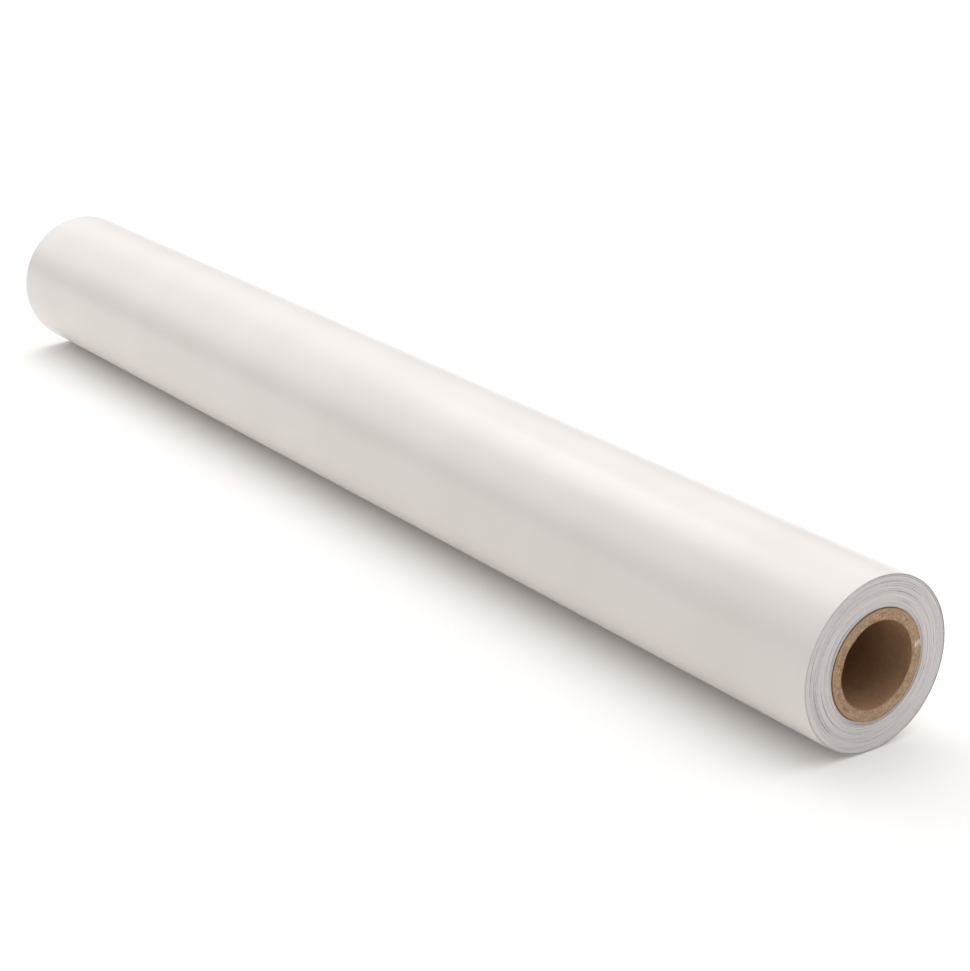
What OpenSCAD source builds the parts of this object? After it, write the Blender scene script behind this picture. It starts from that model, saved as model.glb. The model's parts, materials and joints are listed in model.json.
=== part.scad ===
// Roll of sign vinyl: film on a release liner, wound face out on a spiral-wound board core.
// The roll lies along X, with its origin on the core's axis at mid-length. Angles round the roll run
// from +Y (the back) towards +Z (the top), so the loose end of the web hangs down the back.

/* [Core] */
// Inside diameter of the core, the size that a spindle fits
bore_d = 76.2; // [50:0.1:152.4]
// Smooth ply that lines the bore
bore_ply_t = 0.5; // [0.45:0.05:1]
// One of the thick plies in the body of the wall
body_ply_t = 1; // [0.4:0.1:1.5]
// Number of plies in the body of the wall
body_plies = 9; // [3:1:12]
// Smooth ply on the outside
outer_ply_t = 0.5; // [0.3:0.1:1]
// How far the core stands out of the web at each end
core_proud = 1.3; // [0:0.1:10]
// Bevel on the mouth of the bore
mouth_bevel = 0.3; // [0.1:0.05:0.4]

/* [Web] */
// Width of the web, from end to end of the roll
web_w = 1370; // [300:1:1600]
// Vinyl film
film_t = 0.08; // [0.05:0.01:0.2]
// Coat of adhesive under the film
adhesive_t = 0.02; // [0.01:0.01:0.05]
// Release liner
liner_t = 0.12; // [0.08:0.01:0.25]
// Bands that the wound turns are drawn in
bands = 9; // [2:1:12]
// Turns of web in one band
band_turns = 14; // [2:1:20]
// Furthest that a band has wandered sideways in winding
wander = 0.35; // [0:0.05:2]

/* [Start of the web] */
// Double-sided tape that holds the start of the web to the core
starter_t = 0.15; // [0.05:0.01:0.3]
// Width of that tape, round the core
starter_w = 25; // [10:1:50]
// Distance that it stops short of each end of the web
starter_inset = 10; // [0:1:50]

/* [Loose end] */
// Angle at which the web leaves the roll when it is pulled
leave_angle = 54; // [0:1:60]
// Strips that bend one after another as the loose end uncurls
strips = 8; // [3:1:10]
// Arc of one strip
strip_angle = 12; // [6:1:15]
// Last length of web, where the film lifts off its liner
end_l = 24; // [15:1:30]
// Slack under the loose end
end_slack = 0.15; // [0.1:0.01:1]
// Break between the cut end of the web and the turn that starts beside it
cut_gap = 0.4; // [0.2:0.1:3]
// Break between two strips
strip_gap = 0.04; // [0.02:0.01:0.1]

/* [Closing tapes] */
// Tapes across the loose end
tapes = 3; // [1:1:4]
// Width of one tape
tape_w = 25; // [12:1:50]
// Thickness of one tape
tape_t = 0.06; // [0.04:0.01:0.1]
// Length of the tab that reaches past the loose end
tab_l = 21; // [10:1:25]
// Distance from the fold of the film to the tape
tape_setback = 3; // [1:1:5]
// Distance from each end of the web to the middle of the nearest tape
tape_inset = 120; // [30:1:140]

/* [Hidden] */
turn_t = film_t + adhesive_t + liner_t;
bore_r = bore_d / 2;
body_r = bore_r + bore_ply_t;
outer_ply_r = body_r + body_plies * body_ply_t;
core_r = outer_ply_r + outer_ply_t;
core_l = web_w + 2 * core_proud;
band_t = band_turns * turn_t;
wound_r = core_r + starter_t;
outer_turn_r = wound_r + bands * band_t;
tail_r = outer_turn_r + end_slack;
roll_r = tail_r + turn_t;
end_start = leave_angle - strips * strip_angle;
web_end = end_start - arc_angle(end_l, roll_r);
golden_angle = 137.5;
sheet_step = 1.5;
overcut = 1;
$fn = 96;

// Angle, in degrees, that a length takes up on an arc of radius r
function arc_angle(length, r) = length / r * 180 / PI;

// Where strip i starts, counted down the back from where the web leaves the roll
function strip_start(i) = leave_angle - (i - 1) * strip_angle;

// Middle of tape i along the roll
function tape_x(i) = tapes == 1 ? 0 : ((i - 1) / (tapes - 1) - 0.5) * (web_w - 2 * tape_inset);

// Turns a drawing round Z so that its axis is the roll's, with its angle 0 at +Y and 90 at +Z
module along_roll(x) {
    translate([x, 0, 0])
        rotate([0, 90, 0])
            rotate(90)
                children();
}

// Whole tube along the roll, with its middle at x
module tube(r, t, length, x = 0) {
    along_roll(x)
        difference() {
            cylinder(r = r + t, h = length, center = true);
            cylinder(r = r, h = length + 2 * overcut, center = true);
        }
}

// Part of a tube, from angle a0 up to angle a1
module arc_shell(r, t, length, a0, a1, x = 0) {
    along_roll(x)
        rotate(a0)
            rotate_extrude(angle = a1 - a0)
                translate([r, -length / 2])
                    square([t, length]);
}

// Point at radius r and angle a, with the roll's axis as the origin
function polar(r, a) = [r * cos(a), r * sin(a)];

// Thin bent sheet in flat facets, whose corners lie at radii r0 and r1 from angle a0 up to angle a1
module bent_sheet(r0, r1, length, a0, a1) {
    facets = ceil((a1 - a0) / sheet_step);
    angles = [for (i = [0:facets]) a0 + (a1 - a0) * i / facets];
    along_roll(0)
        linear_extrude(length, center = true)
            polygon(concat(
                [for (i = [0:facets]) polar(r1, angles[i])],
                [for (i = [facets:-1:0]) polar(r0, angles[i])]
            ));
}

// Smooth ply with a bevelled mouth at each end
module core_bore_ply() {
    color("#6b4c36")
        difference() {
            tube(bore_r, bore_ply_t, core_l);
            for (side = [0, 1])
                mirror([side, 0, 0])
                    along_roll(core_l / 2 - mouth_bevel)
                        cylinder(
                            r1 = bore_r,
                            r2 = bore_r + mouth_bevel + overcut,
                            h = mouth_bevel + overcut
                        );
        }
}

module core_ply(i) {
    color("#9c7b5b")
        tube(body_r + (i - 1) * body_ply_t, body_ply_t, core_l);
}

module core_outer_ply() {
    color("#b08f6c")
        tube(outer_ply_r, outer_ply_t, core_l);
}

// Lies in the narrow gap between the core and the first turn, with its facets just clear of the core
module starter_tape() {
    half_arc = arc_angle(starter_w, core_r) / 2;
    color("#e8e2cf")
        bent_sheet(
            core_r / cos(sheet_step / 2), wound_r, web_w - 2 * starter_inset,
            leave_angle - half_arc, leave_angle + half_arc
        );
}

// Each band sits a little to one side of the last, as turns do in winding
module wound_turns(i) {
    color("#e4e3e7")
        tube(wound_r + (i - 1) * band_t, band_t, web_w, wander * sin(i * golden_angle));
}

// The outer turn starts beside the cut end, passes under the roll and comes over its top
module outer_turn(r, t) {
    arc_shell(r, t, web_w, leave_angle, web_end + 360 - arc_angle(cut_gap, r));
}

module outer_turn_liner() {
    color("#d9d6cf")
        outer_turn(outer_turn_r, liner_t);
}

module outer_turn_film() {
    color("#f4f4f4")
        outer_turn(outer_turn_r + liner_t, adhesive_t + film_t);
}

// One strip of a layer of the loose end, which bends on its neighbour at its upper edge
module tail_strip(i, r0, r1) {
    bent_sheet(r0, r1, web_w, strip_start(i + 1), strip_start(i) - arc_angle(strip_gap, roll_r));
}

module tail_liner(i) {
    color("#d9d6cf")
        tail_strip(i, tail_r, tail_r + liner_t);
}

module tail_film(i) {
    color("#f4f4f4")
        tail_strip(i, tail_r + liner_t, roll_r);
}

module tail_end_liner() {
    color("#d9d6cf")
        bent_sheet(tail_r, tail_r + liner_t, web_w, web_end, end_start);
}

// The last length of film folds at its upper edge, clear of the liner by its coat of adhesive
module tail_end_film() {
    color("#f4f4f4")
        bent_sheet(roll_r - film_t, roll_r, web_w, web_end, end_start - arc_angle(strip_gap, roll_r));
}

// Half of a tape that stays on the loose end
module tape_stuck(i) {
    color("#e6e9ea")
        arc_shell(
            roll_r, tape_t, tape_w,
            web_end + arc_angle(strip_gap, roll_r),
            end_start - arc_angle(tape_setback, roll_r),
            tape_x(i)
        );
}

// Half that closes the roll, which folds back at the cut end of the web
module tape_tab(i) {
    color("#e6e9ea")
        arc_shell(roll_r, tape_t, tape_w, web_end - arc_angle(tab_l, roll_r), web_end, tape_x(i));
}

core_bore_ply();
for (i = [1:body_plies])
    core_ply(i);
core_outer_ply();
starter_tape();
for (i = [1:bands])
    wound_turns(i);
outer_turn_liner();
outer_turn_film();
for (i = [1:strips])
    tail_liner(i);
for (i = [1:strips])
    tail_film(i);
tail_end_liner();
tail_end_film();
for (i = [1:tapes])
    tape_stuck(i);
for (i = [1:tapes])
    tape_tab(i);
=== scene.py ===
import json
import math

import bpy
import numpy as np
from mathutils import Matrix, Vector


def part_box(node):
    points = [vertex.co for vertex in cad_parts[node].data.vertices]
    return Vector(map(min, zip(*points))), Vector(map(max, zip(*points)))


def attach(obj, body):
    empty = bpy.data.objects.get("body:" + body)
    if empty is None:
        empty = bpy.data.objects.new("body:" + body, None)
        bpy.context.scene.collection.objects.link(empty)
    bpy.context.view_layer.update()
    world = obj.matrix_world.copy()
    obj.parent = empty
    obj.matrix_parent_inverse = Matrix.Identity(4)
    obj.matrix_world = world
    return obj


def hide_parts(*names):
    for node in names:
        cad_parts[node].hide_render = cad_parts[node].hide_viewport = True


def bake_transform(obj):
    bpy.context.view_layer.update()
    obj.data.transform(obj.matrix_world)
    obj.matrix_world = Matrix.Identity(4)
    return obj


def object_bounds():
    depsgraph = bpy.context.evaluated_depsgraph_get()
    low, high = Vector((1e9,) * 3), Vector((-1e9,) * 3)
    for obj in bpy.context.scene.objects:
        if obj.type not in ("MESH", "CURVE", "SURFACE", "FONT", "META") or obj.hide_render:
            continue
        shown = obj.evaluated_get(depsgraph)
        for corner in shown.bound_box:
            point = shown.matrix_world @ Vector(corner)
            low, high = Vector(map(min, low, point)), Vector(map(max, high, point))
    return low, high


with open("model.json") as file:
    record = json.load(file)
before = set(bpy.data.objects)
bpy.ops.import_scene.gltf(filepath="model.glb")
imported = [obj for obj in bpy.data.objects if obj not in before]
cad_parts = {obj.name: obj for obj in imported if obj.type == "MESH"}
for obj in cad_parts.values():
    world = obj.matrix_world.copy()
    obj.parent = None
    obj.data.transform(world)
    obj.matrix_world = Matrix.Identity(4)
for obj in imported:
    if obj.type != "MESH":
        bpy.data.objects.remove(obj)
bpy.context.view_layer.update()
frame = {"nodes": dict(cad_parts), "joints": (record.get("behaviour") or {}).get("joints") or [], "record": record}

mm = 0.001
joints = {joint["name"]: joint for joint in frame["joints"]}


def reach(node):  # outside radius of a tube round the roll's axis
    low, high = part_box(node)
    return max(-low[1], high[1], -low[2], high[2])


def onRoll(angle, radius, x=0.0):  # angles run from the back (+Y) towards the top (+Z)
    turned = math.radians(angle)
    return Vector((x, radius * math.cos(turned), radius * math.sin(turned)))


def jointAngle(name):
    place = joints[name]["pos_m"]
    return math.degrees(math.atan2(place[2], place[1]))


web = {
    "film": 0.10 * mm,  # vinyl with its adhesive
    "liner": 0.12 * mm,
    "turns": 126,
    "slack": 0.15 * mm,  # under the loose end
    "cutGap": 0.4 * mm,
    "columns": 138,  # points across a sheet
    "outerStep": 1.5,  # degrees between rows on the outer turn
    "looseStep": 0.75,
}
turnThick = web["film"] + web["liner"]
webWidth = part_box("outer_turn_film")[1][0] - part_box("outer_turn_film")[0][0]
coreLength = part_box("core_outer_ply")[1][0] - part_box("core_outer_ply")[0][0]
boreRadius = next(m for m in frame["record"]["mounts"] if m["name"] == "core_bore")["dims"]["r_mm"] * mm
packRadius = reach("wound_turns_9")
bends = sorted((n for n in joints if n.startswith("tail_bend_")), key=lambda n: int(n.split("_")[-1]))
bendAngles = [jointAngle(n) for n in bends]
stripAngle = bendAngles[0] - bendAngles[1]
foldAngle = jointAngle("film_peel")
cutAngle = jointAngle("tape_peel_1")
cutGapAngle = math.degrees(web["cutGap"] / packRadius)


# ---------- nodes and meshes

def add(tree, kind, inputs=None, **settings):
    node = tree.nodes.new(kind)
    for name, value in settings.items():
        setattr(node, name, value)
    for key, value in (inputs or {}).items():
        if isinstance(value, bpy.types.Node):
            value = value.outputs[0]
        if isinstance(value, bpy.types.NodeSocket):
            tree.links.new(value, node.inputs[key])
        else:
            node.inputs[key].default_value = value
    return node


def linear(hexColour):
    parts = [int(hexColour[i:i + 2], 16) / 255 for i in (1, 3, 5)]
    return (*[c / 12.92 if c <= 0.04045 else ((c + 0.055) / 1.055) ** 2.4 for c in parts], 1)


def meshPiece(name, points, faces, uv, material, sharpDegrees=35):
    mesh = bpy.data.meshes.new(name)
    mesh.from_pydata(points, [], faces)
    layer = mesh.uv_layers.new(name="alongWeb")
    corners = np.empty(len(mesh.loops), np.int32)
    mesh.loops.foreach_get("vertex_index", corners)
    layer.data.foreach_set("uv", np.asarray(uv, np.float32)[corners].ravel())
    mesh.materials.append(material)
    mesh.shade_smooth()
    mesh.set_sharp_from_angle(angle=math.radians(sharpDegrees))
    mesh.update()
    piece = bpy.data.objects.new(name, mesh)
    bpy.context.scene.collection.objects.link(piece)
    return piece


def gridFaces(rows, columns, first, flip):  # quads over a grid of points, row by row
    i, j = np.meshgrid(np.arange(rows - 1), np.arange(columns - 1), indexing="ij")
    a = (first + i * columns + j).ravel()
    quads = np.stack([a, a + 1, a + columns + 1, a + columns], 1)
    return quads[:, ::-1] if flip else quads


# A thin closed sheet bent round the roll. It runs from angle to angle at an inner radius, and both ends
# of it may be given for each x, so that a cut can have teeth.
def bentSheet(name, angles, inner, thick, xs, material, step, lift):
    start, end = (np.broadcast_to(np.asarray(a, float), xs.shape) for a in angles)
    rows = max(2, int(round(float(np.mean(end - start)) / step)) + 1)
    share = np.linspace(0, 1, rows)[:, None]
    turned = start + (end - start) * share
    across = np.broadcast_to(xs, turned.shape)
    low = inner(turned) + lift(across, turned)
    points, uv = [], []
    for radius in (low + thick, low):
        a = np.radians(turned)
        points.append(np.stack([across, radius * np.cos(a), radius * np.sin(a)], -1).reshape(-1, 3))
        uv.append(np.stack([across, packRadius * a], -1).reshape(-1, 2))
    columns, count = len(xs), rows * len(xs)
    faces = [gridFaces(rows, columns, 0, True), gridFaces(rows, columns, count, False)]
    rim = [
        np.arange(columns),
        np.arange(1, rows) * columns + columns - 1,
        (rows - 1) * columns + np.arange(columns - 2, -1, -1),
        np.arange(rows - 2, -1, -1) * columns,
    ]
    loop = np.concatenate(rim)
    ahead = np.roll(loop, -1)
    keep = loop != ahead
    faces.append(np.stack([loop, loop + count, ahead + count, ahead], 1)[keep])
    allFaces = [tuple(int(v) for v in quad) for quad in np.concatenate(faces)]
    return meshPiece(name, np.concatenate(points).tolist(), allFaces, np.concatenate(uv), material)


def nodeTree(name, sockets):
    tree = bpy.data.node_groups.new(name, "GeometryNodeTree")
    for label, kind in sockets:
        tree.interface.new_socket(label, in_out="INPUT", socket_type=kind)
    tree.interface.new_socket("Geometry", in_out="OUTPUT", socket_type="NodeSocketGeometry")
    return tree


def runTree(name, tree, values):  # the tree's result as a plain mesh
    holder = bpy.data.objects.new(name + "Holder", bpy.data.meshes.new(name + "Holder"))
    bpy.context.scene.collection.objects.link(holder)
    modifier = holder.modifiers.new("shape", "NODES")
    modifier.node_group = tree
    for item in tree.interface.items_tree:
        if item.in_out == "INPUT" and item.name in values:
            modifier[item.identifier] = values[item.name]
    held = holder.evaluated_get(bpy.context.evaluated_depsgraph_get())
    mesh = bpy.data.meshes.new_from_object(held)
    holder.modifiers.remove(modifier)
    bpy.data.objects.remove(holder)
    mesh.name = name
    piece = bpy.data.objects.new(name, mesh)
    bpy.context.scene.collection.objects.link(piece)
    return piece


def settle(piece, nodes):
    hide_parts(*nodes)
    return piece


# ---------- materials

def newMaterial(name):
    material = bpy.data.materials.new(name)
    material.use_nodes = True
    return material, material.node_tree, material.node_tree.nodes["Principled BSDF"]


# Calendered PVC off a polished chill roll: near-white, with a soft gloss that wavers where the web is
# a few microns thicker, and a very fine orange peel.
vinyl = {
    "colour": "#F1EBE7",
    "shade": "#EDE7E2",
    "roughness": 0.285,
    "scuffed": 0.03,  # added where it has been handled
    "ior": 1.53,
    "bandMm": 90,
    "bandAround": 1.1,
    "peelMm": 2.2,
    "scuffMm": 40,
    "scuffAround": 4,
}


def calenderedVinyl():
    material, tree, shader = newMaterial("calenderedVinyl")
    place = add(tree, "ShaderNodeUVMap", uv_map="alongWeb")
    bands = add(tree, "ShaderNodeMapping", {"Vector": place,
                                            "Scale": (1000 / vinyl["bandMm"], vinyl["bandAround"], 1)})
    bandNoise = add(tree, "ShaderNodeTexNoise", {"Vector": bands, "Scale": 1.0, "Detail": 1.0})
    peel = add(tree, "ShaderNodeTexNoise", {"Vector": place, "Scale": 1000 / vinyl["peelMm"], "Detail": 2.0})
    scuff = add(tree, "ShaderNodeMapping", {"Vector": place,
                                            "Scale": (1000 / vinyl["scuffMm"], vinyl["scuffAround"], 1)})
    scuffNoise = add(tree, "ShaderNodeTexNoise", {"Vector": scuff, "Scale": 1.0, "Detail": 3.0,
                                                  "Roughness": 0.6})
    tone = add(tree, "ShaderNodeMapRange", {"Value": bandNoise, 1: 0.3, 2: 0.7})
    colour = add(tree, "ShaderNodeMix", {0: tone, 6: linear(vinyl["shade"]), 7: linear(vinyl["colour"])},
                 data_type="RGBA")
    rough = add(tree, "ShaderNodeMapRange", {"Value": scuffNoise, 1: 0.35, 2: 0.75,
                                             3: vinyl["roughness"],
                                             4: vinyl["roughness"] + vinyl["scuffed"]})
    wave = add(tree, "ShaderNodeBump", {"Height": bandNoise, "Strength": 0.4, "Distance": 0.03 * mm})
    fine = add(tree, "ShaderNodeBump", {"Height": peel, "Strength": 0.3, "Distance": 0.004 * mm,
                                        "Normal": wave})
    tree.links.new(colour.outputs[2], shader.inputs["Base Color"])
    tree.links.new(rough.outputs[0], shader.inputs["Roughness"])
    tree.links.new(fine.outputs[0], shader.inputs["Normal"])
    shader.inputs["IOR"].default_value = vinyl["ior"]
    return material


# Siliconed paper: cream, with a low sheen from the release coat and cloudy fibre formation under it.
liner = {"colour": "#DDD8CC", "cloud": "#CFC9BA", "roughness": 0.42, "cloudMm": 5, "fibreMm": 0.8}


def siliconedPaper():
    material, tree, shader = newMaterial("siliconedPaper")
    place = add(tree, "ShaderNodeUVMap", uv_map="alongWeb")
    cloud = add(tree, "ShaderNodeTexNoise", {"Vector": place, "Scale": 1000 / liner["cloudMm"],
                                             "Detail": 4.0})
    fibre = add(tree, "ShaderNodeTexNoise", {"Vector": place, "Scale": 1000 / liner["fibreMm"],
                                             "Detail": 3.0, "Distortion": 0.8})
    colour = add(tree, "ShaderNodeMix", {0: cloud, 6: linear(liner["colour"]), 7: linear(liner["cloud"])},
                 data_type="RGBA")
    bump = add(tree, "ShaderNodeBump", {"Height": fibre, "Strength": 0.3, "Distance": 0.02 * mm})
    tree.links.new(colour.outputs[2], shader.inputs["Base Color"])
    tree.links.new(bump.outputs[0], shader.inputs["Normal"])
    shader.inputs["Roughness"].default_value = liner["roughness"]
    return material


# Slit edges of the wound turns: film and liner end on, so a cool grey that changes from turn to turn.
# Its light and dark lines are partly painted highlight and painted shade, for the lit edges and shadowed
# steps of turns that stand proud or sunk. One turn is finer than the eye resolves, so the tone runs over a
# few turns.
slit = {
    "light": "#F4F0EF",
    "lightAt": 0.66,
    "mid": "#DBD5D4",
    "midAt": 0.43,
    "dark": "#918B8B",
    "darkAt": 0.34,
    "roughness": 0.5,
    "turnsPerTone": 2.3,
    "around": 9.0,  # how often the tone, with its painted shade and highlight, changes on the way round
    "dust": 0.08,
    "dustScale": 260.0,
}


def slitEdges():
    material, tree, shader = newMaterial("slitEdges")
    turn = add(tree, "ShaderNodeAttribute", attribute_name="turnNumber")
    coords = add(tree, "ShaderNodeTexCoord").outputs["Object"]
    scaled = add(tree, "ShaderNodeMath", {0: turn.outputs["Fac"], 1: 1 / slit["turnsPerTone"]},
                 operation="MULTIPLY")
    around = add(tree, "ShaderNodeVectorMath", {0: coords, 1: (0.0, slit["around"], slit["around"])},
                 operation="MULTIPLY")
    tone = add(tree, "ShaderNodeTexNoise", {"Vector": around, "W": scaled, "Scale": 1.0, "Detail": 2.0,
                                            "Roughness": 0.75}, noise_dimensions="4D")
    dust = add(tree, "ShaderNodeTexNoise", {"Vector": coords, "Scale": slit["dustScale"], "Detail": 4.0})
    mixed = add(tree, "ShaderNodeMix", {0: slit["dust"], 2: tone, 3: dust})
    # the ramp's dark and light ends paint shade and highlight lines between groups of turns, as well as tone
    ramp = add(tree, "ShaderNodeValToRGB", {"Fac": mixed})
    ramp.color_ramp.elements[0].position = slit["darkAt"]
    ramp.color_ramp.elements[0].color = linear(slit["dark"])
    ramp.color_ramp.elements[1].position = slit["lightAt"]
    ramp.color_ramp.elements[1].color = linear(slit["light"])
    ramp.color_ramp.elements.new(slit["midAt"]).color = linear(slit["mid"])
    tree.links.new(ramp.outputs[0], shader.inputs["Base Color"])
    shader.inputs["Roughness"].default_value = slit["roughness"]
    return material


# Spiral-wound board. The lining and the face are smooth brown kraft. Inside the wall the plies are coarse,
# speckled recycled chipboard, with plainer kraft outside them. Single fibres are too fine to show, so the
# pattern is of clumps of them.
board = {
    "darkAt": 0.32,
    "lightAt": 0.68,
    "blotched": 0.25,
    "fleckFrom": 0.1,
    "fleckTo": 0.22,
    "torn": "#F6ECE0",  # bare fibres in the nick
}


def woundBoard(name, look):
    material, tree, shader = newMaterial(name)
    coords = add(tree, "ShaderNodeTexCoord").outputs["Object"]
    fibreNoise = add(tree, "ShaderNodeTexNoise", {"Vector": coords, "Scale": 1000 / look["fibreMm"],
                                                  "Detail": 5.0, "Roughness": 0.65, "Distortion": 1.2})
    blotch = add(tree, "ShaderNodeTexNoise", {"Vector": coords, "Scale": 1000 / look["blotchMm"],
                                              "Detail": 2.0})
    flecks = add(tree, "ShaderNodeTexVoronoi", {"Vector": coords, "Scale": 1000 / look["fleckMm"]})
    fleckCut = add(tree, "ShaderNodeMapRange", {"Value": flecks, 1: board["fleckFrom"], 2: board["fleckTo"],
                                                3: look["fleck"], 4: 0.0})
    tone = add(tree, "ShaderNodeMix", {0: board["blotched"], 2: fibreNoise, 3: blotch})
    ramp = add(tree, "ShaderNodeValToRGB", {"Fac": tone})
    ramp.color_ramp.elements[0].position = board["darkAt"]
    ramp.color_ramp.elements[0].color = linear(look["dark"])
    ramp.color_ramp.elements[1].position = board["lightAt"]
    ramp.color_ramp.elements[1].color = linear(look["light"])
    colour = add(tree, "ShaderNodeMix", {0: fleckCut, 6: ramp, 7: linear(look["fleckColour"])},
                 data_type="RGBA")
    nick = add(tree, "ShaderNodeAttribute", attribute_name="torn")
    ragged = add(tree, "ShaderNodeMapRange", {"Value": fibreNoise, 1: 0.35, 2: 0.6, 3: 0.0, 4: 1.0})
    torn = add(tree, "ShaderNodeMath", {0: nick.outputs["Fac"], 1: ragged}, operation="MULTIPLY")
    withNick = add(tree, "ShaderNodeMix", {0: torn, 6: colour.outputs[2], 7: linear(board["torn"])},
                   data_type="RGBA")
    bump = add(tree, "ShaderNodeBump", {"Height": fibreNoise, "Strength": 0.5,
                                        "Distance": look["bumpMm"] * mm})
    tree.links.new(withNick.outputs[2], shader.inputs["Base Color"])
    tree.links.new(bump.outputs[0], shader.inputs["Normal"])
    shader.inputs["Roughness"].default_value = look["roughness"]
    return material


boards = {
    "kraftLining": {
        "light": "#BA9472", "dark": "#96755B", "fleckColour": "#CCAE8C", "fleck": 0.25,
        "fibreMm": 1.4, "blotchMm": 17, "fleckMm": 7, "bumpMm": 0.05, "roughness": 0.6},
    "chipboardPly": {
        "light": "#DAB998", "dark": "#735743", "fleckColour": "#F0E2D0", "fleck": 0.7,
        "fibreMm": 2.2, "blotchMm": 7, "fleckMm": 1.7, "bumpMm": 0.3, "roughness": 0.88},
    "kraftPly": {
        "light": "#CDAC88", "dark": "#98795E", "fleckColour": "#DEC9AC", "fleck": 0.5,
        "fibreMm": 1.3, "blotchMm": 6, "fleckMm": 3.0, "bumpMm": 0.15, "roughness": 0.82},
    "tornBoard": {
        "light": "#F0E6DB", "dark": "#CDBBA8", "fleckColour": "#F6EFE6", "fleck": 0.5,
        "fibreMm": 0.5, "blotchMm": 2, "fleckMm": 1, "bumpMm": 0.05, "roughness": 0.9},
    "kraftFace": {
        "light": "#94714F", "dark": "#6D5138", "fleckColour": "#B59673", "fleck": 0.3,
        "fibreMm": 1.0, "blotchMm": 9, "fleckMm": 3, "bumpMm": 0.08, "roughness": 0.8},
}

# Acrylic tape, slit from clear film: mostly clear, with a matt writable face.
tape = {"colour": "#F2F0EA", "roughness": 0.36, "alpha": 0.4, "grainMm": 0.7}


def clearTape():
    material, tree, shader = newMaterial("clearTape")
    place = add(tree, "ShaderNodeUVMap", uv_map="alongWeb")
    grain = add(tree, "ShaderNodeTexNoise", {"Vector": place, "Scale": 1000 / tape["grainMm"], "Detail": 3.0})
    bump = add(tree, "ShaderNodeBump", {"Height": grain, "Strength": 0.3, "Distance": 0.02 * mm})
    tree.links.new(bump.outputs[0], shader.inputs["Normal"])
    shader.inputs["Base Color"].default_value = linear(tape["colour"])
    shader.inputs["Roughness"].default_value = tape["roughness"]
    shader.inputs["Alpha"].default_value = tape["alpha"]
    return material


# Double-sided tape: a thin tissue carrier in yellowish adhesive.
starter = {"adhesive": "#E9E0C6", "fibre": "#D3C6A2", "roughness": 0.55, "tissueScale": 700.0}


def tissueTape():
    material, tree, shader = newMaterial("tissueTape")
    coords = add(tree, "ShaderNodeTexCoord").outputs["Object"]
    tissue = add(tree, "ShaderNodeTexNoise", {"Vector": coords, "Scale": starter["tissueScale"],
                                              "Detail": 4.0, "Distortion": 1.0})
    colour = add(tree, "ShaderNodeMix", {0: tissue, 6: linear(starter["adhesive"]),
                                         7: linear(starter["fibre"])}, data_type="RGBA")
    tree.links.new(colour.outputs[2], shader.inputs["Base Color"])
    shader.inputs["Roughness"].default_value = starter["roughness"]
    return material


vinylMaterial = calenderedVinyl()
linerMaterial = siliconedPaper()
slitMaterial = slitEdges()
boardMaterials = {name: woundBoard(name, look) for name, look in boards.items()}
tapeMaterial = clearTape()
frame["nodes"]["starter_tape"].material_slots[0].material = tissueTape()
print("materials made")


# ---------- core

# Every ply is one tube. Its cut ends are ragged from the saw, each ply stands a little differently, and
# the near end has a torn nick.
ply = {
    "round": 360,
    "cuts": 3,
    "edge": 0.06 * mm,
    "endReach": 0.5 * mm,  # points this close to an end are part of it
    "ragged": 0.28 * mm,
    "raggedScale": 900.0,
    "uneven": 0.22 * mm,
    "unevenScale": 28.0,
    "nickAngle": 7.0,
    "nickWidth": 4.5,  # degrees
    "noNick": 0.01,  # width on a ply that has none
    "nickFrom": 3,  # the nick marks this ply, and deepens over the ones outside it
    "nickOver": 6,
    "nickRag": 5.0,
    "nickDepth": 1.5 * mm,
}


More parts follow.
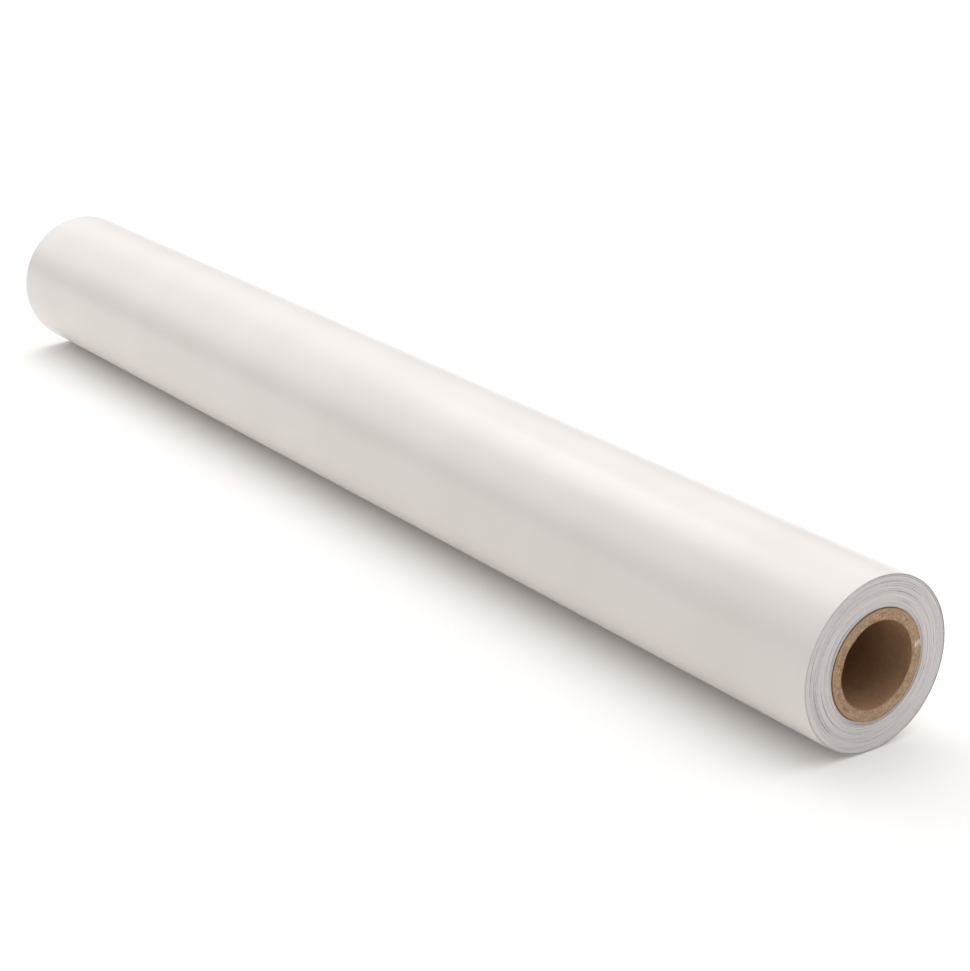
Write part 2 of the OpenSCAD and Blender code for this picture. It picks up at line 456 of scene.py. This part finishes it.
def plyTree():
    tree = nodeTree("plyTube", [
        ("Inner Radius", "NodeSocketFloat"), ("Thickness", "NodeSocketFloat"), ("Length", "NodeSocketFloat"),
        ("Round", "NodeSocketInt"), ("Cuts", "NodeSocketInt"), ("Ragged", "NodeSocketFloat"),
        ("Ragged Scale", "NodeSocketFloat"), ("Uneven", "NodeSocketFloat"), ("Nick Depth", "NodeSocketFloat"),
        ("Nick Angle", "NodeSocketFloat"), ("Nick Width", "NodeSocketFloat"), ("Seed", "NodeSocketFloat"),
        ("Material", "NodeSocketMaterial")])
    given = add(tree, "NodeGroupInput").outputs
    middle = add(tree, "ShaderNodeMath", {0: given["Thickness"], 1: 0.5, 2: given["Inner Radius"]},
                 operation="MULTIPLY_ADD")
    circle = add(tree, "GeometryNodeCurvePrimitiveCircle", {"Resolution": given["Round"], "Radius": middle})
    path = add(tree, "GeometryNodeSetCurveNormal", {"Curve": circle}, mode="Z_UP")
    section = add(tree, "GeometryNodeCurvePrimitiveQuadrilateral",
                  {"Width": given["Thickness"], "Height": given["Length"]})
    soft = add(tree, "GeometryNodeFilletCurve", {"Curve": section, "Count": 1, "Radius": ply["edge"]},
               mode="POLY")
    cut = add(tree, "GeometryNodeSubdivideCurve", {"Curve": soft, "Cuts": given["Cuts"]})
    tube = add(tree, "GeometryNodeCurveToMesh", {"Curve": path, "Profile Curve": cut})
    position = add(tree, "GeometryNodeInputPosition")
    xyz = add(tree, "ShaderNodeSeparateXYZ", {0: position})
    away = add(tree, "ShaderNodeMath", {0: xyz.outputs["Z"]}, operation="ABSOLUTE")
    halfLength = add(tree, "ShaderNodeMath", {0: given["Length"], 1: 0.5}, operation="MULTIPLY")
    endStart = add(tree, "ShaderNodeMath", {0: halfLength, 1: ply["endReach"]}, operation="SUBTRACT")
    isEnd = add(tree, "FunctionNodeCompare", {0: away, 1: endStart}, operation="GREATER_THAN")
    side = add(tree, "ShaderNodeMath", {0: xyz.outputs["Z"]}, operation="SIGN")
    shift = add(tree, "ShaderNodeCombineXYZ", {"X": given["Seed"], "Y": given["Seed"], "Z": 0.0})
    seeded = add(tree, "ShaderNodeVectorMath", {0: position, 1: shift}, operation="ADD")
    rough = add(tree, "ShaderNodeTexNoise", {"Vector": seeded, "Scale": given["Ragged Scale"],
                                             "Detail": 3.0})
    slow = add(tree, "ShaderNodeTexNoise", {"Vector": seeded, "Scale": ply["unevenScale"], "Detail": 1.0})
    roughOff = add(tree, "ShaderNodeMapRange", {"Value": rough, 1: 0.25, 2: 0.75, 3: -1.0, 4: 0.0})
    slowOff = add(tree, "ShaderNodeMapRange", {"Value": slow, 1: 0.25, 2: 0.75, 3: -1.0, 4: 0.0})
    roughDeep = add(tree, "ShaderNodeMath", {0: roughOff, 1: given["Ragged"]}, operation="MULTIPLY")
    deep = add(tree, "ShaderNodeMath", {0: slowOff, 1: given["Uneven"], 2: roughDeep},
               operation="MULTIPLY_ADD")
    angle = add(tree, "ShaderNodeMath", {0: xyz.outputs["Y"], 1: xyz.outputs["X"]}, operation="ARCTAN2")
    degrees = add(tree, "ShaderNodeMath", {0: angle}, operation="DEGREES")
    off = add(tree, "ShaderNodeMath", {0: degrees, 1: given["Nick Angle"]}, operation="SUBTRACT")
    ragOff = add(tree, "ShaderNodeMath", {0: roughOff, 1: ply["nickRag"], 2: off},
                 operation="MULTIPLY_ADD")
    share = add(tree, "ShaderNodeMath", {0: ragOff, 1: given["Nick Width"]}, operation="DIVIDE")
    square = add(tree, "ShaderNodeMath", {0: share, 1: share}, operation="MULTIPLY")
    bell = add(tree, "ShaderNodeMapRange", {"Value": square, 1: 0.0, 2: 1.0, 3: 1.0, 4: 0.0},
               interpolation_type="SMOOTHSTEP")
    nearEnd = add(tree, "ShaderNodeMath", {0: side, 1: 0.0}, operation="GREATER_THAN")
    nickHere = add(tree, "ShaderNodeMath", {0: bell, 1: nearEnd}, operation="MULTIPLY")
    nick = add(tree, "ShaderNodeMath", {0: nickHere, 1: given["Nick Depth"]}, operation="MULTIPLY")
    total = add(tree, "ShaderNodeMath", {0: deep, 1: nick}, operation="SUBTRACT")
    signed = add(tree, "ShaderNodeMath", {0: total, 1: side}, operation="MULTIPLY")
    offset = add(tree, "ShaderNodeCombineXYZ", {"X": 0.0, "Y": 0.0, "Z": signed})
    torn = add(tree, "GeometryNodeSetPosition", {"Geometry": tube, "Selection": isEnd, "Offset": offset})
    tagged = add(tree, "GeometryNodeStoreNamedAttribute",
                 {"Geometry": torn, "Name": "torn", "Value": nickHere}, data_type="FLOAT", domain="POINT")
    tree.links.new(layAlongX(tree, tagged), endOfTree(tree, given["Material"]))
    return tree


def layAlongX(tree, geometry):  # the tree's Z becomes the roll's X, and its angle 0 the back
    position = add(tree, "GeometryNodeInputPosition")
    xyz = add(tree, "ShaderNodeSeparateXYZ", {0: position})
    turned = add(tree, "ShaderNodeCombineXYZ",
                 {"X": xyz.outputs["Z"], "Y": xyz.outputs["X"], "Z": xyz.outputs["Y"]})
    return add(tree, "GeometryNodeSetPosition", {"Geometry": geometry, "Position": turned}).outputs[0]


def endOfTree(tree, material):  # the socket that the finished shape goes into
    real = add(tree, "GeometryNodeRealizeInstances")
    painted = add(tree, "GeometryNodeSetMaterial", {"Geometry": real, "Material": material})
    add(tree, "NodeGroupOutput", {"Geometry": painted})
    return real.inputs[0]


def finishEdges(piece, degrees):
    piece.data.shade_smooth()
    piece.data.set_sharp_from_angle(angle=math.radians(degrees))


plyShape = plyTree()
bodyPlies = [n for n in frame["nodes"] if n.startswith("core_ply_")]
chipboardPlies = len(bodyPlies) * 2 // 3  # the inner ones; those outside them are kraft
plies = [(f"core_ply_{i + 1}", "chipboardPly" if i < chipboardPlies else "kraftPly", "core_board")
         for i in range(len(bodyPlies))]
plies.append(("core_outer_ply", "kraftFace", "core_face_ply"))
inner = reach("core_bore_ply")
for number, (node, boardName, slotName) in enumerate(plies):
    outer = reach(node)
    nicked = number >= ply["nickFrom"]
    piece = runTree(node.replace("core_", "board_"), plyShape, {
        "Inner Radius": inner, "Thickness": outer - inner, "Length": coreLength,
        "Round": ply["round"], "Cuts": ply["cuts"], "Ragged": ply["ragged"],
        "Ragged Scale": ply["raggedScale"], "Uneven": ply["uneven"],
        "Nick Depth": ply["nickDepth"] * max(0.0, (number - ply["nickFrom"]) / ply["nickOver"]),
        "Nick Angle": ply["nickAngle"], "Nick Width": ply["nickWidth"] if nicked else ply["noNick"],
        "Seed": 3.0 + 1.7 * number, "Material": boardMaterials[boardName]})
    finishEdges(piece, 50)
    settle(piece, [node])
    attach(piece, "roll")
    inner = outer

# Pale fibres stand out of the board where it was torn. A tuft spreads along the arc.
fibres = {
    "length": 2.4 * mm,
    "width": 0.5 * mm,
    "taper": 0.75,
    "thick": 0.08 * mm,
    "root": 0.9 * mm,  # below the cut end
    "out": 0.9 * mm,  # the most that a fibre stands past it
    "scatterMm": 0.45,
    "lean": 0.8,
    "curl": 0.45,
    "rings": 5,
    "tufts": [
        {"radius": 43.9 * mm, "angle": 4.2, "spread": 4.2 * mm, "count": 34},
        {"radius": 47.4 * mm, "angle": 10.5, "spread": 1.2 * mm, "count": 9},
        {"radius": 41.9 * mm, "angle": -103.9, "spread": 1.3 * mm, "count": 10},
        {"radius": 45.5 * mm, "angle": -20.0, "spread": 2.5 * mm, "count": 9},
        {"radius": 40.0 * mm, "angle": 60.0, "spread": 2.5 * mm, "count": 8},
    ],
}


def tornFibres():
    random = np.random.default_rng(3)
    points, faces, uv = [], [], []
    for tuft in fibres["tufts"]:
        for _ in range(tuft["count"]):
            angle = tuft["angle"] + math.degrees(random.normal(0, 0.3) * tuft["spread"] / tuft["radius"])
            radius = tuft["radius"] + random.normal(0, fibres["scatterMm"]) * mm
            root = onRoll(angle, radius, coreLength / 2 - fibres["root"])
            lean = Vector((1.0, random.normal(0, fibres["lean"]), random.normal(0, fibres["lean"])))
            lean.normalize()
            curl = Vector((0.0, random.normal(0, 1), random.normal(0, 1))).normalized()
            across = lean.cross(curl).normalized()
            length = fibres["length"] * random.uniform(0.5, 1.0)
            first = len(points)
            for k in range(fibres["rings"]):
                share = k / (fibres["rings"] - 1)
                middle = root + lean * length * (share - 0.35 * share ** 2)
                middle += curl * length * fibres["curl"] * share ** 2
                middle.x = min(middle.x, coreLength / 2 + fibres["out"])
                side = across * fibres["width"] * (1 - fibres["taper"] * share) / 2
                rise = curl * fibres["thick"] / 2
                points += [middle - side - rise, middle + side - rise]
                points += [middle + side + rise, middle - side + rise]
                uv += [(share * length, 0), (share * length, 1 * mm)] * 2
            lastRing = first + 4 * (fibres["rings"] - 1)
            for a in range(first, lastRing, 4):
                faces += [(a + j, a + (j + 1) % 4, a + 4 + (j + 1) % 4, a + 4 + j) for j in range(4)]
            faces.append((first + 3, first + 2, first + 1, first))
            faces.append(tuple(lastRing + j for j in range(4)))
    return meshPiece("torn_fibres", [tuple(p) for p in points], faces, uv, boardMaterials["tornBoard"])


tuftPiece = tornFibres()
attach(tuftPiece, "roll")

# The lining ply is a ribbon wound in a helix, whose edges meet in a fine seam down the bore. The grid of
# points follows the helix, so that the seam is real.
lining = {
    "windings": 9,
    "round": 120,
    "ring": 4 * mm,
    "seam": [0.5, 359.2],  # degrees of the two close columns that make the walls of the seam
    "seamDeep": 0.22 * mm,
    "bevel": 0.3 * mm,
    "ripple": 0.05 * mm,
    "mouth": 2.5 * mm,
    "chip": 0.42 * mm,
    "crush": 1.1 * mm,
    "crushBehind": 0.35,  # share of it that is left at the back of the mouth
    "under": 0.03 * mm,  # the bevel stops this far short of the next ply
}


def boreLining():
    outer = reach("core_bore_ply")
    rings = int(round(coreLength / lining["ring"])) + 1
    xs = np.linspace(-coreLength / 2, coreLength / 2, rings)
    xs = np.insert(xs, [1, 1, rings - 1, rings - 1],
                   [xs[0] + lining["bevel"], xs[0] + lining["mouth"],
                    xs[-1] - lining["mouth"], xs[-1] - lining["bevel"]])
    steps = np.linspace(0, 360, lining["round"], endpoint=False)
    around = np.sort(np.concatenate([steps, lining["seam"]]))
    turned = np.radians(around[None, :] + 360 * lining["windings"] * (xs[:, None] / coreLength + 0.5))
    wave = np.sin(xs[:, None] * 61 + np.radians(around) * 2)
    wave = wave + np.sin(xs[:, None] * 23 - np.radians(around) * 3)
    radius = boreRadius + lining["ripple"] * (wave + 2) / 4
    radius[:, 0] += lining["seamDeep"]
    # the saw left the mouth crushed in places, with short flats
    random = np.random.default_rng(8)
    fullTurn = 2 * math.pi
    for edge, behind in ((1, 2), (-2, -3)):
        dents = sum(random.uniform(-1, 1) / k * np.sin(k * turned[edge] + random.uniform(0, 6))
                    for k in range(3, 16))
        crushed = np.clip(dents * 0.9 + 0.35, 0, 1)
        radius[edge] += lining["chip"] - lining["crush"] * crushed
        angles = turned[edge] % fullTurn
        order = np.argsort(angles)
        crushed = np.interp(turned[behind] % fullTurn, angles[order], crushed[order], period=fullTurn)
        radius[behind] += lining["crushBehind"] * (lining["chip"] - lining["crush"] * crushed)
    for end, beside in ((0, 1), (-1, -2)):
        radius[end] = np.minimum(radius[beside] + lining["bevel"], outer - lining["under"])
    insidePoints = np.stack([np.broadcast_to(xs[:, None], radius.shape), radius * np.cos(turned),
                             radius * np.sin(turned)], -1)
    endPoints = [np.stack([np.full(turned.shape[1], xs[k]), outer * np.cos(turned[k]),
                           outer * np.sin(turned[k])], -1) for k in (0, -1)]
    rows, columns = radius.shape
    points = np.concatenate([insidePoints.reshape(-1, 3)] + endPoints)
    lastInside = (rows - 1) * columns
    farRim = rows * columns
    nearRim = farRim + columns
    faces = []
    for j in range(columns):
        k = (j + 1) % columns
        for i in range(rows - 1):
            a = i * columns
            faces.append((a + j, a + columns + j, a + columns + k, a + k))
        faces.append((j, k, farRim + k, farRim + j))
        faces.append((lastInside + j, nearRim + j, nearRim + k, lastInside + k))
        faces.append((farRim + j, farRim + k, nearRim + k, nearRim + j))
    uv = np.stack([points[:, 0], np.arctan2(points[:, 2], points[:, 1]) * boreRadius], -1)
    return meshPiece("board_bore_ply", points.tolist(), faces, uv, boardMaterials["kraftLining"], 40)


liningPiece = settle(boreLining(), ["core_bore_ply"])
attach(liningPiece, "roll")
print("core made")


# ---------- wound web

# The web is one long ribbon wound in a spiral. Each turn has crept sideways a little differently, and a
# few stretches stand proud or sunk over part of the way round. Depth is out of the near end.
wound = {
    "stepsPerTurn": 80,
    "slow": 0.5 * mm,
    "slowPerTurn": 0.11,
    "fast": 0.16 * mm,
    "fastPerTurn": 0.83,
    "edge": 0.045 * mm,
    "stretches": [  # first turn, spread in turns, depth, angle it is centred on, how tightly
        {"turn": 0, "spread": 17.0, "out": -2.0 * mm, "angle": -35, "tight": 1.6},
        {"turn": 3, "spread": 3.0, "out": 0.5 * mm, "angle": 165, "tight": 1.0},
        {"turn": 13, "spread": 3.0, "out": -0.45 * mm, "angle": 125, "tight": 1.0},
        {"turn": 24, "spread": 1.6, "out": 0.25 * mm, "angle": 150, "tight": 1.0},
        {"turn": 58, "spread": 2.2, "out": -0.5 * mm, "angle": -85, "tight": 1.5},
        {"turn": 66, "spread": 1.5, "out": 0.3 * mm, "angle": -60, "tight": 1.5},
        {"turn": 78, "spread": 2.4, "out": -0.4 * mm, "angle": 200, "tight": 1.0},
        {"turn": 92, "spread": 1.4, "out": 0.3 * mm, "angle": 20, "tight": 1.0},
        {"turn": 104, "spread": 2.0, "out": -0.35 * mm, "angle": -20, "tight": 1.0},
        {"turn": 124, "spread": 3.5, "out": -0.9 * mm, "angle": 0, "tight": 0.0},
    ],
}


def woundTree():
    tree = nodeTree("woundWeb", [
        ("Turns", "NodeSocketFloat"), ("Steps", "NodeSocketInt"), ("Inner Radius", "NodeSocketFloat"),
        ("Outer Radius", "NodeSocketFloat"), ("Thickness", "NodeSocketFloat"), ("Width", "NodeSocketFloat"),
        ("End Angle", "NodeSocketFloat"), ("Slow", "NodeSocketFloat"), ("Fast", "NodeSocketFloat"),
        ("Edge", "NodeSocketFloat"), ("Seed", "NodeSocketFloat"), ("Material", "NodeSocketMaterial")])
    given = add(tree, "NodeGroupInput").outputs
    spiral = add(tree, "GeometryNodeCurveSpiral", {
        "Resolution": given["Steps"], "Rotations": given["Turns"], "Start Radius": given["Inner Radius"],
        "End Radius": given["Outer Radius"], "Height": 0.0})
    spin = add(tree, "ShaderNodeCombineXYZ", {"X": 0.0, "Y": 0.0, "Z": given["End Angle"]})
    spun = add(tree, "GeometryNodeTransform", {"Geometry": spiral, "Rotation": spin})
    parameter = add(tree, "GeometryNodeSplineParameter")
    number = add(tree, "ShaderNodeMath", {0: parameter.outputs["Index"], 1: given["Steps"]},
                 operation="DIVIDE")
    tagged = add(tree, "GeometryNodeStoreNamedAttribute",
                 {"Geometry": spun, "Name": "turnNumber", "Value": number}, data_type="FLOAT", domain="POINT")
    path = add(tree, "GeometryNodeSetCurveNormal", {"Curve": tagged}, mode="Z_UP")
    section = add(tree, "GeometryNodeCurvePrimitiveQuadrilateral",
                  {"Width": given["Thickness"], "Height": given["Width"]})
    soft = add(tree, "GeometryNodeFilletCurve", {"Curve": section, "Count": 1, "Radius": given["Edge"]},
               mode="POLY")
    ribbon = add(tree, "GeometryNodeCurveToMesh", {"Curve": path, "Profile Curve": soft, "Fill Caps": True})
    turn = add(tree, "GeometryNodeInputNamedAttribute", {"Name": "turnNumber"}, data_type="FLOAT")
    creep = None
    for perTurn, size in ((wound["slowPerTurn"], "Slow"), (wound["fastPerTurn"], "Fast")):
        at = add(tree, "ShaderNodeMath", {0: turn, 1: perTurn, 2: given["Seed"]}, operation="MULTIPLY_ADD")
        wander = add(tree, "ShaderNodeTexNoise", {"W": at, "Scale": 1.0, "Detail": 1.0},
                     noise_dimensions="1D")
        centred = add(tree, "ShaderNodeMath", {0: wander, 1: 0.5}, operation="SUBTRACT")
        creep = add(tree, "ShaderNodeMath", {0: centred, 1: given[size], 2: creep or 0.0},
                    operation="MULTIPLY_ADD")
    position = add(tree, "GeometryNodeInputPosition")
    xyz = add(tree, "ShaderNodeSeparateXYZ", {0: position})
    angle = add(tree, "ShaderNodeMath", {0: xyz.outputs["Y"], 1: xyz.outputs["X"]}, operation="ARCTAN2")
    for stretch in wound["stretches"]:
        off = add(tree, "ShaderNodeMath", {0: turn, 1: stretch["turn"]}, operation="SUBTRACT")
        scaled = add(tree, "ShaderNodeMath", {0: off, 1: stretch["spread"]}, operation="DIVIDE")
        square = add(tree, "ShaderNodeMath", {0: scaled, 1: scaled}, operation="MULTIPLY")
        bell = add(tree, "ShaderNodeMapRange", {"Value": square, 1: 0.0, 2: 1.0, 3: stretch["out"], 4: 0.0},
                   interpolation_type="SMOOTHSTEP")
        facing = add(tree, "ShaderNodeMath", {0: angle, 1: math.radians(stretch["angle"])},
                     operation="SUBTRACT")
        cosine = add(tree, "ShaderNodeMath", {0: facing}, operation="COSINE")
        half = add(tree, "ShaderNodeMath", {0: cosine, 1: 0.5, 2: 0.5}, operation="MULTIPLY_ADD")
        window = add(tree, "ShaderNodeMath", {0: half, 1: stretch["tight"]}, operation="POWER")
        creep = add(tree, "ShaderNodeMath", {0: bell, 1: window, 2: creep}, operation="MULTIPLY_ADD")
    offset = add(tree, "ShaderNodeCombineXYZ", {"X": 0.0, "Y": 0.0, "Z": creep})
    crept = add(tree, "GeometryNodeSetPosition", {"Geometry": ribbon, "Offset": offset})
    tree.links.new(layAlongX(tree, crept), endOfTree(tree, given["Material"]))
    return tree


turnsInPack = web["turns"] - 1  # the last turn's worth of radius is taken up by the spiral's own step
middleRadius = packRadius - turnThick / 2
woundPiece = runTree("wound_web", woundTree(), {
    "Turns": float(turnsInPack), "Steps": wound["stepsPerTurn"],
    "Inner Radius": middleRadius - turnsInPack * turnThick, "Outer Radius": middleRadius,
    "Thickness": turnThick, "Width": webWidth, "End Angle": math.radians(cutAngle), "Slow": wound["slow"],
    "Fast": wound["fast"], "Edge": wound["edge"], "Seed": 5.0, "Material": slitMaterial})
settle(woundPiece, [n for n in frame["nodes"] if n.startswith("wound_turns_")])
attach(woundPiece, "roll")
print("web wound:", len(woundPiece.data.polygons), "faces")


# ---------- outer turn and loose end

# Where the web is a few microns thicker it builds up in low rings round the roll.
rings = [  # spacing along the roll, height, phase, lean
    {"spacing": 411 * mm, "high": 0.05 * mm, "phase": 0.4, "lean": 0.9},
    {"spacing": 163 * mm, "high": 0.035 * mm, "phase": 2.1, "lean": -0.6},
    {"spacing": 71 * mm, "high": 0.014 * mm, "phase": 4.4, "lean": 1.4},
]


def ringLift(x, angle):
    lift = np.zeros_like(x)
    for ring in rings:
        lift = lift + ring["high"] * (1 + np.sin(2 * math.pi * x / ring["spacing"] + ring["phase"]
                                                 + ring["lean"] * np.sin(np.radians(angle))))
    return lift / 2


# Inner radius of the last turn, which climbs by one thickness on its way round to the cut end. The loose
# end has a little slack under it.
def lastTurn(angle):
    climbed = (cutAngle + 360 - angle) / 360
    slack = np.clip((bendAngles[0] - angle) / (bendAngles[0] - foldAngle), 0, 1)
    return packRadius - turnThick * (1 - climbed) + web["slack"] * slack * slack * (3 - 2 * slack)


sheetXs = np.linspace(-webWidth / 2, webWidth / 2, web["columns"])
layers = {
    "film": {"above": web["liner"], "thick": web["film"], "material": vinylMaterial, "slot": "vinyl_film"},
    "liner": {"above": 0.0, "thick": web["liner"], "material": linerMaterial, "slot": "release_liner"},
}


def webPiece(name, layer, angles, nodes, step):
    made = layers[layer]
    sheet = bentSheet(name, angles, lambda a: lastTurn(a) + made["above"], made["thick"], sheetXs,
                      made["material"], step, ringLift)
    return settle(sheet, nodes)


stripCentres = [a - stripAngle / 2 for a in bendAngles]
bodyNames = ["roll"] + [joints[n]["child"] for n in bends]
for layer in ("liner", "film"):
    outerTurn = webPiece(f"outer_{layer}", layer, (bendAngles[0], cutAngle + 360 - cutGapAngle),
                         [f"outer_turn_{layer}"], web["outerStep"])
    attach(outerTurn, "roll")
    edges = [bendAngles[0]] + stripCentres
    for i in range(len(bends)):
        strip = webPiece(f"loose_{layer}_{i + 1}", layer, (edges[i + 1], edges[i]),
                         [f"tail_{layer}_{i + 1}"], web["looseStep"])
        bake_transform(strip)
    last = webPiece(f"last_{layer}", layer, (cutAngle, edges[-1]), [f"tail_end_{layer}"], web["looseStep"])
    if layer == "liner":
        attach(last, bodyNames[-1])
    else:
        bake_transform(last)
print("outer turn and loose end made")


# ---------- closing tapes

# Torn off over a toothed blade, so both ends are serrated.
closing = {"thick": 0.06 * mm, "tooth": 1.5 * mm, "toothDeep": 0.7 * mm, "drop": 3.0, "press": 0.03 * mm}
outside = lastTurn(np.array([cutAngle]))[0] + turnThick


def toothed(xs):
    phase = np.abs(((xs - xs[0]) / closing["tooth"]) % 1 - 0.5) * 2
    return np.degrees(closing["toothDeep"] * phase / packRadius)


def onTurnBelow(angle):  # the tab steps down from the cut end to the turn beside it
    below = lastTurn(angle + 360) + turnThick + closing["press"]
    share = np.clip((cutAngle - angle) / closing["drop"], 0, 1)
    share = share * share * (3 - 2 * share)
    return outside + (below - outside) * share


for node in sorted(n for n in frame["nodes"] if n.startswith("tape_stuck_")):
    number = node.split("_")[-1]
    low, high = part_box(node)
    xs = np.linspace(low[0], high[0], 4 * round((high[0] - low[0]) / closing["tooth"]) + 1)
    teeth = toothed(xs)
    top = math.degrees(math.atan2(high[2], high[1]))
    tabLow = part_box(f"tape_tab_{number}")[0]
    tabEnd = math.degrees(math.atan2(tabLow[2], tabLow[1]))
    stuck = bentSheet(f"closing_tape_{number}", (cutAngle, top - teeth), lambda a: lastTurn(a) + turnThick,
                      closing["thick"], xs, tapeMaterial, web["looseStep"], ringLift)
    settle(stuck, [node])
    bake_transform(stuck)
    tab = bentSheet(f"closing_tab_{number}", (tabEnd + teeth, cutAngle), onTurnBelow, closing["thick"], xs,
                    tapeMaterial, web["looseStep"], ringLift)
    settle(tab, [f"tape_tab_{number}"])
    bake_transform(tab)
print("tapes made")


# ---------- stage, light and camera

studio = {
    "floorSize": 30.0,
    "floorColour": "#F8F6F4",
    "floorGlow": 0.06,
    "roomLight": 0.11,
    "overheadLight": 1.9,
    "overheadTowards": (-0.05, 0.27, 0.96),
    "overheadSpread": 2.0,
    "softboxes": [  # what it is aimed at, the way to it from there, how far, its size and its radiance
        {"at": (0.685, 0.0, 0.0), "towards": (-0.75, 0.0, 0.64), "far": 2.8, "size": (1.25, 0.72),
         "light": 2.3},
        {"at": (-0.2, 0.0, 0.0), "towards": (-0.75, -0.47, 0.46), "far": 3.0, "size": (2.1, 1.2),
         "light": 0.95},
    ],
}
view = {
    "azimuth": 54.32,
    "elevation": 20.82,
    "aim": (0.163, -0.0056, -0.0085),
    "distance": 2.3067,
    "lens": 89.62,
    "sensor": 36,
}

floorMesh = bpy.data.meshes.new("lightTable")
half, floorZ = studio["floorSize"] / 2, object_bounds()[0][2] - 0.02 * mm
floorCorners = [(-half, -half, floorZ), (half, -half, floorZ), (half, half, floorZ), (-half, half, floorZ)]
floorMesh.from_pydata(floorCorners, [], [(0, 1, 2, 3)])
floor = bpy.data.objects.new("lightTable", floorMesh)
bpy.context.scene.collection.objects.link(floor)
floorMaterial, _, floorShader = newMaterial("backlitAcrylicTable")
floorShader.inputs["Base Color"].default_value = linear(studio["floorColour"])
floorShader.inputs["Roughness"].default_value = 0.9
floorShader.inputs["Emission Color"].default_value = (1, 1, 1, 1)
floorShader.inputs["Emission Strength"].default_value = studio["floorGlow"]
floorMesh.materials.append(floorMaterial)

world = bpy.data.worlds.new("softRoom")
bpy.context.scene.world = world
world.use_nodes = True
sky = world.node_tree
direction = add(sky, "ShaderNodeTexCoord")
overhead = add(sky, "ShaderNodeVectorMath", {0: direction.outputs["Generated"],
                                             1: Vector(studio["overheadTowards"]).normalized()},
               operation="DOT_PRODUCT")
facing = add(sky, "ShaderNodeMath", {0: overhead.outputs["Value"], 1: 0.0}, operation="MAXIMUM")
falloff = add(sky, "ShaderNodeMath", {0: facing, 1: studio["overheadSpread"]}, operation="POWER")
strength = add(sky, "ShaderNodeMath", {0: falloff, 1: studio["overheadLight"], 2: studio["roomLight"]},
               operation="MULTIPLY_ADD")
background = sky.nodes["Background"]
background.inputs["Color"].default_value = (1, 1, 1, 1)
sky.links.new(strength.outputs[0], background.inputs["Strength"])

for number, made in enumerate(studio["softboxes"], 1):
    towards = Vector(made["towards"]).normalized()
    box = bpy.data.lights.new(f"softbox{number}", "AREA")
    box.shape = "RECTANGLE"
    box.size, box.size_y = made["size"]
    box.energy = made["light"] * math.pi * box.size * box.size_y
    boxLamp = bpy.data.objects.new(f"softbox{number}", box)
    boxLamp.location = Vector(made["at"]) + towards * made["far"]
    boxLamp.rotation_euler = (-towards).to_track_quat("-Z", "Y").to_euler()
    bpy.context.scene.collection.objects.link(boxLamp)

azimuth, elevation = math.radians(view["azimuth"]), math.radians(view["elevation"])
back = Vector((math.sin(azimuth) * math.cos(elevation), -math.cos(azimuth) * math.cos(elevation),
               math.sin(elevation)))
camera = bpy.data.objects.new("camera", bpy.data.cameras.new("camera"))
camera.data.lens = view["lens"]
camera.data.sensor_width = view["sensor"]
camera.data.clip_end = 100
camera.location = Vector(view["aim"]) + back * view["distance"]
camera.rotation_euler = (-back).to_track_quat("-Z", "Y").to_euler()
bpy.context.scene.collection.objects.link(camera)
bpy.context.scene.camera = camera
bpy.context.scene.view_settings.view_transform = "Standard"
print("stage set")
